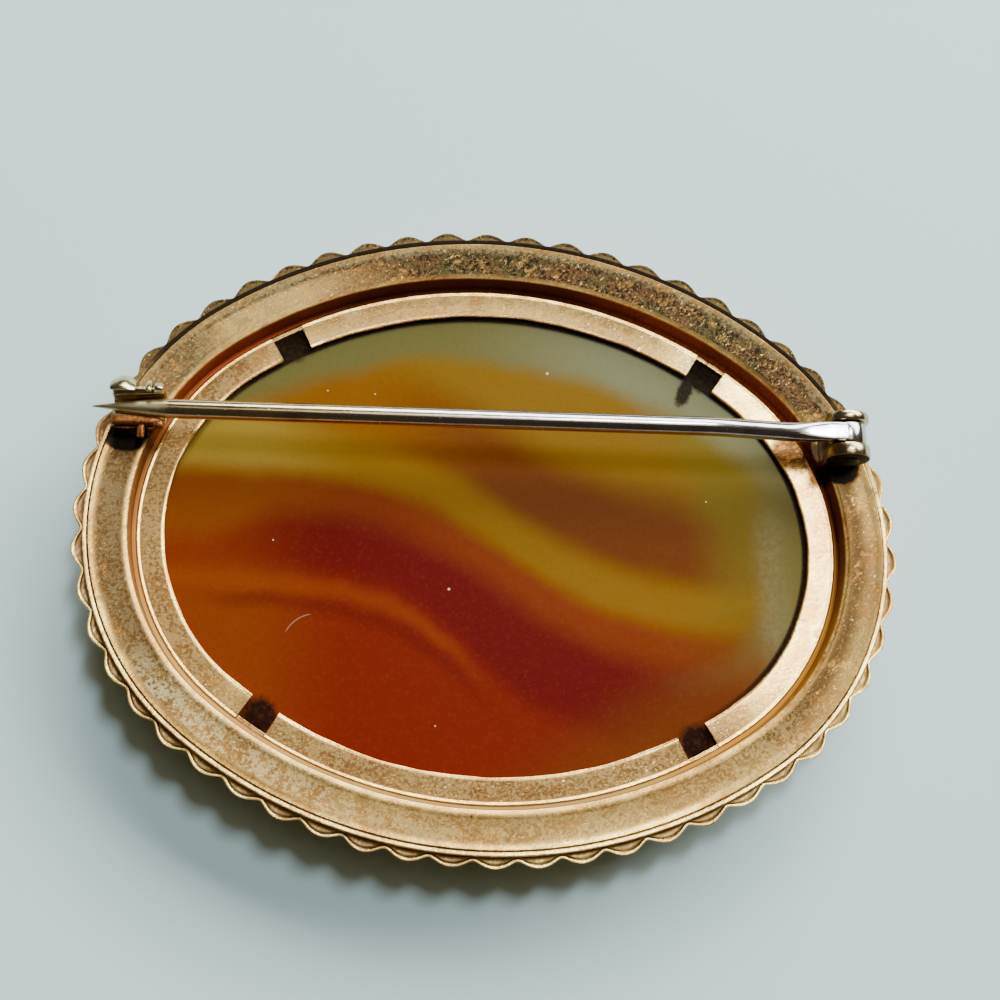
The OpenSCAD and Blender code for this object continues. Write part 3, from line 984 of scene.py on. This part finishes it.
# %% [markdown]
# A bar bent round an axis makes the drum, the cheek and the sleeve of the catch. Its ends are
# rounded, and its outside may swell, as hammered sheet does. The rivet is turned, and solder is a
# low lump with a wavy edge.

# %% Bent bars, turned parts and lumps
def curved_bar(x0, x1, r_in, r_out, start, end, soft, crown, blunt, swell, hug=0):
    """A bar of rounded section, from x0 to x1 and r_in to r_out, bent round the catch's axis from
    one angle to another: each point is axis + r (cos t, sin t). Its outside rises by crown in the
    middle and by swell cos^2 t towards +Y, its inside drops by hug towards x0, and its ends are
    rounded over a length blunt: size s = 0.5 + 0.5 sqrt(k (2 - k)) for k from 0 to 1."""
    middle = np.array([(x0 + x1) / 2, (r_in + r_out) / 2])
    section = rounded([
        (x0, r_in, soft), (x0, r_out - crown, soft), (middle[0], r_out, crown * 2.5 + 0.01),
        (x1, r_out - crown, soft), (x1, r_in, soft),
    ], steps=7) - middle
    cap = math.degrees(blunt / r_out)
    k = np.array([0, 0.1, 0.3, 0.6])
    run = np.linspace(start + cap, end - cap, 60)
    turn = np.radians(np.concatenate([start + cap * k, run, (end - cap * k)[::-1]]))[:, None]
    size = 0.5 + 0.5 * np.sqrt(k * (2 - k))
    size = np.concatenate([size, np.ones(60), size[::-1]])[:, None]
    x = middle[0] + section[:, 0] * (0.6 + 0.4 * size)
    r = middle[1] + section[:, 1] * size
    outer = ramp(r, r_in, r_out - r_in)
    bulge = swell * outer * np.clip(np.cos(turn), 0, 1) ** 2
    r = r + bulge - hug * (1 - outer) * (x1 - x) / (x1 - x0)
    return np.stack([x, CATCH_Y + r * np.cos(turn), PIN_Z + r * np.sin(turn)], -1)


def turned_part(x, z, pairs):
    """A part turned about an axis along Y through (x, z), from (radius, y) pairs."""
    angle = np.arange(48) / 24 * math.pi
    r, y = np.array(pairs, float).T[..., None]
    return np.stack(np.broadcast_arrays(x + r * np.cos(angle), y, z + r * np.sin(angle)), -1)


def mound(x, y, z, size, seed):
    """A low lump of solder: an ellipsoid whose sides swell and shrink by a few slow waves."""
    up = np.linspace(-math.pi / 2 + 0.06, math.pi / 2 - 0.06, 16)[:, None]
    angle = np.arange(40) / 20 * math.pi
    flat = (1 + 0.09 * wander(np.arange(40), 40, seed, (2, 3, 5))) * np.cos(up)
    x, y = x + size[0] * flat * np.cos(angle), y + size[1] * flat * np.sin(angle)
    return np.stack(np.broadcast_arrays(x, y, z + size[2] * np.sin(up)), -1)


# %% [markdown]
# ## Hinge
#
# Two round ears stand on a small base, and a rivet goes through both and through the pin's eye. The
# ear on the near side is the thicker one. The base was soldered over the band's channel, and the
# solder ran out round it in a low lump.

# %% Hinge
EAR_R = 1.28


def ear_outline(angle):
    """Radius of an ear: its round head, or the block below it where that reaches further out."""
    c, s = np.cos(angle), np.sin(angle)
    side = np.where(c < 0, 1.15, 0.95) / np.maximum(np.abs(c), 1e-3)
    floor = (PIN_Z - BAND_TOP) / np.maximum(-s, 1e-3)
    return np.maximum(EAR_R, np.where(s < 0, np.minimum(side, floor), 0))


ears = [
    line_skin(plate(HINGE_X, PIN_Z, y0, y1, ear_outline, 0.44, 0.14), closed=True)
    for y0, y1 in ((-1.5, -0.67), (0.67, 1.24))
]
base = block((HINGE_X - 1.35, -1.25, BAND_TOP - 0.04), (HINGE_X + 1.1, 1.25, BAND_TOP + 0.25), 0.1)
solder = mound(HINGE_X - 0.25, 0, BAND_TOP - 0.1, (1.5, 1.5, 0.16), 4)
piece(
    "hinge_bracket", ears + [line_skin(base), line_skin(solder)], gilt_fitting, "brooch",
    "back_band",
)

SHANK_R = 0.42
head = ((0.05, 0.2), (0.25, 0.19), (0.45, 0.15), (0.6, 0.07), (0.66, 0), (SHANK_R, 0))
rivet_pairs = [(r, -1.53 - y) for r, y in head] + [(r, 1.27 + y) for r, y in reversed(head)]
piece(
    "hinge_rivet", [line_skin(turned_part(HINGE_X, PIN_Z, rivet_pairs))], gilt_fitting, "brooch",
    "hinge_rivet",
)

# %% [markdown]
# ## Catch
#
# The catch is a small drum whose wall is open on top, so that the pin can drop in, with a thin
# cheek beside it. Between drum and cheek runs the slot for the thumb tab. The drum and the cheek
# share a foot on the band. The sleeve inside turns and closes over the pin; it has a flange past
# the cheek and a tab to push.

# %% Catch
CATCH_Y = 0.15
TAB_TURN = math.radians(184)

housing_parts = [
    curved_bar(-21.95, -20.5, 1.16, 1.38, 192, 426, 0.06, 0.14, 0.22, 0.42),
    curved_bar(-19.95, -19.62, 1.16, 1.36, 192, 426, 0.06, 0.04, 0.15, 0.16),
    block((-21.25, CATCH_Y - 0.9, BAND_TOP - 0.25), (-19.9, CATCH_Y + 0.9, BAND_TOP + 0.15), 0.1),
    mound(-20.5, CATCH_Y, BAND_TOP - 0.12, (1.15, 1.25, 0.14), 9),
]
piece(
    "catch_housing", [line_skin(part) for part in housing_parts], gilt_fitting, "brooch",
    "back_band",
)

x, y, z = np.moveaxis(block((-20.43, 0.95, -0.13), (-20.03, 1.85, 0.13), 0.09), -1, 0)
c, s = math.cos(TAB_TURN), math.sin(TAB_TURN)
rotor_parts = [
    curved_bar(-21.9, -19.05, 0.76, 1.12, 165, 405, 0.05, 0, 0.26, 0, 0.27),
    curved_bar(-19.52, -19.0, 0.86, 1.34, 165, 416, 0.07, 0.08, 0.2, 0.1),
    np.stack([x, CATCH_Y + y * c - z * s, PIN_Z + y * s + z * c], -1),
]
piece(
    "catch_rotor", [line_skin(part) for part in rotor_parts], gilt_fitting, "catch",
    "catch_rotor",
)

# %% [markdown]
# ## Steel
#
# The pin is drawn wire, so it has long fine streaks from the die. It is warmer where fingers touch
# it, and pitted with rust. The point was ground by hand: it is less smooth there and stays light
# to its tip.

# %% Steel
def steel_paint():
    p = Paint("pin_steel")
    streak = p.noise(p.stretched(0.25, 11, SLANT), 1, 5, 0.65)
    blotch = p.noise(p.at, 0.5, 4, 0.6)
    pits = p.noise(p.at, 4.5, 3, 0.6).step(0.66, 0.76)
    warm = (p.x + (blotch - 0.5) * 14).step(2, -14)
    ground = p.x.step(-18.4, -19.4)
    return p.finish(
        Base_Color=p.over(
            p.mix(warm, (206, 194, 190), (222, 200, 150)),
            (blotch.step(0.5, 0.7) * 0.4, (140, 104, 84)),
            (streak.step(0.5, 0.3) * 0.4, (120, 96, 80)),
            (pits * 0.5, (70, 50, 40)),
        ),
        Metallic=1.0,
        Roughness=0.17 + (streak - 0.5) * 0.16 + pits * 0.2 + ground * 0.22,
        Normal=p.bump(streak * 0.6 - pits * 0.5, 0.000012, 0.5),
    )


pin_steel = steel_paint()

# %% [markdown]
# ## Pin
#
# One end of the wire was hammered flat and bored for the rivet, then the wire rises to a slight
# bend and runs straight to its point past the catch. Its section is an ellipse that shrinks to
# nothing at the point. Towards the hinge it is squared, |y/b|^n + |z/c|^n = 1 with n up to 6, and
# its flat top runs level into the top of the round eye, where it is the brightest spot of the
# photo.

# %% Pin
WIRE_R = 0.55
BEND_X = 12.5
POINT_X = -18.9
END_X = -23


def stem_line(t):
    """Height of the wire's middle: two straight runs joined by sqrt(u^2 + c^2) at the bend."""
    rise, run_in, run_out = 0.8, HINGE_X - BEND_X, BEND_X - END_X
    mean = (rise / run_out - rise / run_in) / 2
    half = (rise / run_out + rise / run_in) / 2
    u = t - BEND_X
    return PIN_Z + rise + mean * u - half * (np.sqrt(u * u + 0.5**2) - 0.5)


x = np.concatenate([
    np.linspace(HINGE_X, 16.2, 40), np.linspace(16, 9, 36), np.linspace(8.5, -18.5, 60),
    np.linspace(POINT_X, END_X, 40),
])[:, None]
toward_eye = ramp(x, 16.2, 3.2)
toward_eye = toward_eye**2 * (3 - 2 * toward_eye)
toward_tip = ramp(x, POINT_X, END_X - POINT_X)
taper = 1 - toward_tip**1.15 * 0.93
half_y = WIRE_R * (1 + toward_eye * 0.02) * taper
half_z = (WIRE_R - 0.25 * toward_eye) * taper
eye_top = PIN_Z + 1.075 - 0.05 * (HINGE_X - x)
stem_top = (stem_line(x) + WIRE_R) * (1 - toward_eye) + eye_top * toward_eye
level = 0.35 * (WIRE_R - half_z) * (1 - toward_tip**3) * (toward_tip > 0)
stem_middle = np.where(x > 15, stem_top - half_z, stem_line(x) + level)
square = 1 - 0.7 * toward_eye
around = np.arange(40) / 20 * math.pi
side, rise = np.cos(around), np.sin(around)
stem = np.stack(np.broadcast_arrays(
    x, half_y * np.sign(side) * np.abs(side) ** square,
    stem_middle + half_z * np.sign(rise) * np.abs(rise) ** square,
), -1)


def eye_outline(angle):
    """Radius of the round eye, the same all round."""
    return np.full_like(angle, 1.09)


eye = plate(HINGE_X, PIN_Z, -0.57, 0.57, eye_outline, 0.46, 0.07)
piece(
    "pin_stem", [line_skin(stem), line_skin(eye, closed=True)], pin_steel, "pin", "pin_stem",
)

# %% [markdown]
# ## Table
#
# The brooch lies on a plain pale table, which belongs to the stage and not to the object.

# %% Table
half_side = 2.0
corners = [(-1, -1, 0), (1, -1, 0), (1, 1, 0), (-1, 1, 0)]
table_paint = Paint("table")
floor_mesh = bpy.data.meshes.new("table")
floor_mesh.from_pydata((np.array(corners) * half_side).tolist(), [], [(0, 1, 2, 3)])
floor_mesh.materials.append(table_paint.finish(
    Base_Color=(0.62, 0.76, 0.74, 1.0), Roughness=0.7, Specular_IOR_Level=0.2,
))
floor = bpy.data.objects.new("table", floor_mesh)
bpy.context.scene.collection.objects.link(floor)

# %% [markdown]
# ## Light
#
# What the metal shows is what it mirrors, so each light is placed for a highlight in the photo. A
# wide window behind the brooch draws the line along the pin and throws the soft shadow to the
# front. A dim card overhead is the ceiling in the flat gilt, and a small lamp right of it burns out
# the right lip and lights the left edges. The rest is dim, which keeps the undersides dark.

# %% Light
def panel(name, position, width, height, glow, tint):
    """A flat light that faces the brooch. Its face shines like paint of brightness glow, so its
    power is glow times pi times its area."""
    data = bpy.data.lights.new(name, "AREA")
    data.shape = "RECTANGLE"
    data.size = width
    data.size_y = height
    data.energy = glow * math.pi * width * height
    data.color = tint
    made = bpy.data.objects.new(name, data)
    made.location = position
    made.rotation_euler = Vector(position).to_track_quat("Z", "Y").to_euler()
    bpy.context.scene.collection.objects.link(made)
    print("light", name, "of", round(data.energy, 2), "W")


panel("window", (0.15, 0.29, 0.27), 0.55, 0.2, 13.0, (0.95, 1.0, 1.02))
panel("card", (0.022, 0.037, 0.36), 0.19, 0.115, 1.5, (1.0, 0.87, 0.66))
panel("lamp", (0.054, 0.1, 0.355), 0.04, 0.075, 68.0, (0.82, 1.0, 1.14))
world = bpy.data.worlds.new("room")
world.use_nodes = True
room = world.node_tree.nodes["Background"].inputs
room["Color"].default_value = (1.0, 0.84, 0.62, 1.0)
room["Strength"].default_value = 0.045
bpy.context.scene.world = world

# %% [markdown]
# ## Camera
#
# The camera stands where the photo's did: some 95 mm above the table, leaning about fifteen
# degrees, so the lower edge is a little nearer. It is found as a photographer would put it, by how
# the object is turned and moved in front of a camera that stands still.

# %% Camera
def look(turn_x, turn_y, turn_z, shift, distance, lens):
    """Camera from the photo: the object, 5 mm above the table, is turned by R = Rx Ry Rz and moved
    by (shift, -distance) in the camera's own axes, so the camera has the rotation R transposed and
    the place R^T (-t)."""
    turned_back = Euler(np.radians((turn_x, turn_y, turn_z)), "ZYX").to_matrix().transposed()
    spot = turned_back @ Vector((-shift[0], -shift[1], distance)) + Vector((0, 0, 5))
    data = bpy.data.cameras.new("camera")
    data.lens = lens
    data.sensor_width = 36
    data.clip_start = 0.001
    made = bpy.data.objects.new("camera", data)
    made.matrix_world = Matrix.LocRotScale(spot * MM, turned_back, None)
    bpy.context.scene.collection.objects.link(made)
    bpy.context.scene.camera = made
    return made


camera = look(-15.05, 4.31, -3.0, (-0.532, -2.099), 90.0, 56.06)
print("camera at mm:", [round(c / MM, 1) for c in camera.matrix_world.translation])
